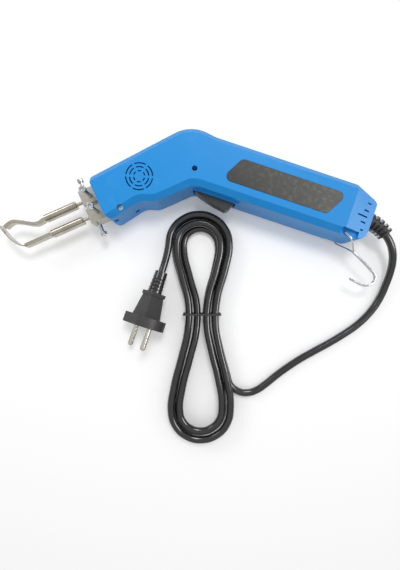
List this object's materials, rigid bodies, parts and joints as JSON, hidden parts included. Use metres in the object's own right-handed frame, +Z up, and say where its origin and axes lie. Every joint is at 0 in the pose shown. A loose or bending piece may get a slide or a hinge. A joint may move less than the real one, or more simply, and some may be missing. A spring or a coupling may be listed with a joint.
{
  "type": "electric hot knife",
  "caption": "Cranked hand-held hot knife with a vented case, trigger, hanging hook, clamped heated blade and a mains cord tied in a hank with its plug.",
  "frame": {"origin": "on the table under the elbow screw of the case, which lies on its right side", "axes": "+X from the blade towards the tail, +Y towards the back of the grip, +Z up from the table through the left face"},
  "size_m": [0.3398, 0.2638, 0.0489],
  "materials": {
    "blue_case": "satin moulded",
    "black_plastic": "moulded",
    "plate": "satin",
    "bright_steel": "nickel plated",
    "steel": "drawn",
    "plated_block": "dull plated",
    "blade_steel": "ground and heat tinted",
    "core_iron": "varnished laminations",
    "copper": "bare and enamelled copper",
    "insulation": "resin bonded sheet",
    "bobbin_plastic": "moulded",
    "red_plastic": "moulded",
    "lead_brown": "insulated wire",
    "lead_blue": "insulated wire",
    "cord_rubber": "flexible cord",
    "plug_pin_metal": "nickel plated"
  },
  "bodies": {
    "case": {"left_shell": "blue_case", "right_shell": "blue_case", "nameplate": "plate", "case_screws": "bright_steel", "trigger_pin": "steel", "trigger_spring": "steel", "switch_body": "black_plastic", "cord_boot": "cord_rubber", "cord_clamp": "black_plastic", "cord_clamp_screws": "bright_steel", "live_lead": "lead_brown", "neutral_lead": "lead_blue", "switch_lead": "lead_brown", "core_e_stack": "core_iron", "core_i_stack": "core_iron", "bobbin": "bobbin_plastic", "primary_winding": "copper", "secondary_loop": "copper", "nose_insulator": "insulation", "upper_terminal_block": "plated_block", "lower_terminal_block": "plated_block", "cord_run": "cord_rubber", "cord_hank": "cord_rubber", "cord_tail": "cord_rubber", "hank_tie": "black_plastic", "plug_boot": "cord_rubber", "plug_body": "black_plastic", "plug_pins": "plug_pin_metal"},
    "trigger": {"trigger": "black_plastic"},
    "plunger": {"switch_plunger": "red_plastic"},
    "hook": {"hook": "bright_steel"},
    "upper_top_screw": {"upper_top_screw": "bright_steel"},
    "lower_top_screw": {"lower_top_screw": "bright_steel"},
    "upper_side_screw": {"upper_side_screw": "bright_steel"},
    "lower_side_screw": {"lower_side_screw": "bright_steel"},
    "blade": {"upper_blade_pin": "steel", "lower_blade_pin": "steel", "upper_sleeve": "steel", "lower_sleeve": "steel", "upper_arm": "blade_steel", "lower_arm": "blade_steel", "cutting_strip": "blade_steel"}
  },
  "joints": [
    {"name": "trigger_squeeze", "type": "hinge", "parent": "case", "child": "trigger", "pos_m": [0.00474, -0.00633, 0.021], "axis": [0, 0, 1], "range_deg": [0, 10], "stiffness_Nm_per_rad": 0.8, "springref_deg": -5.73, "deforming": ["trigger_spring"]},
    {"name": "plunger_press", "type": "slide", "parent": "case", "child": "plunger", "axis": [0.3173, 0.9483, 0], "range_m": [0, 0.0028]},
    {"name": "hook_swing", "type": "hinge", "parent": "case", "child": "hook", "pos_m": [0.12058, -0.04931, 0.021], "axis": [0, 0, 1], "range_deg": [-85, 0]},
    {"name": "upper_top_screw_run", "type": "slide", "parent": "case", "child": "upper_top_screw", "axis": [0, 0, 1], "range_m": [-0.0031, 0.0015]},
    {"name": "lower_top_screw_run", "type": "slide", "parent": "case", "child": "lower_top_screw", "axis": [0, 0, 1], "range_m": [-0.0031, 0.0015]},
    {"name": "upper_side_screw_run", "type": "slide", "parent": "case", "child": "upper_side_screw", "axis": [-0.4067, 0.9135, 0], "range_m": [-0.0031, 0.0015]},
    {"name": "lower_side_screw_run", "type": "slide", "parent": "case", "child": "lower_side_screw", "axis": [0.4067, -0.9135, 0], "range_m": [-0.0031, 0.0015]},
    {"name": "blade_pull", "type": "slide", "parent": "case", "child": "blade", "axis": [-0.9135, -0.4067, 0], "range_m": [0, 0.012]}
  ],
  "couplings": [
    {"joint": "plunger_press", "follows": "trigger_squeeze", "m_per_rad": 0.0155}
  ]
}
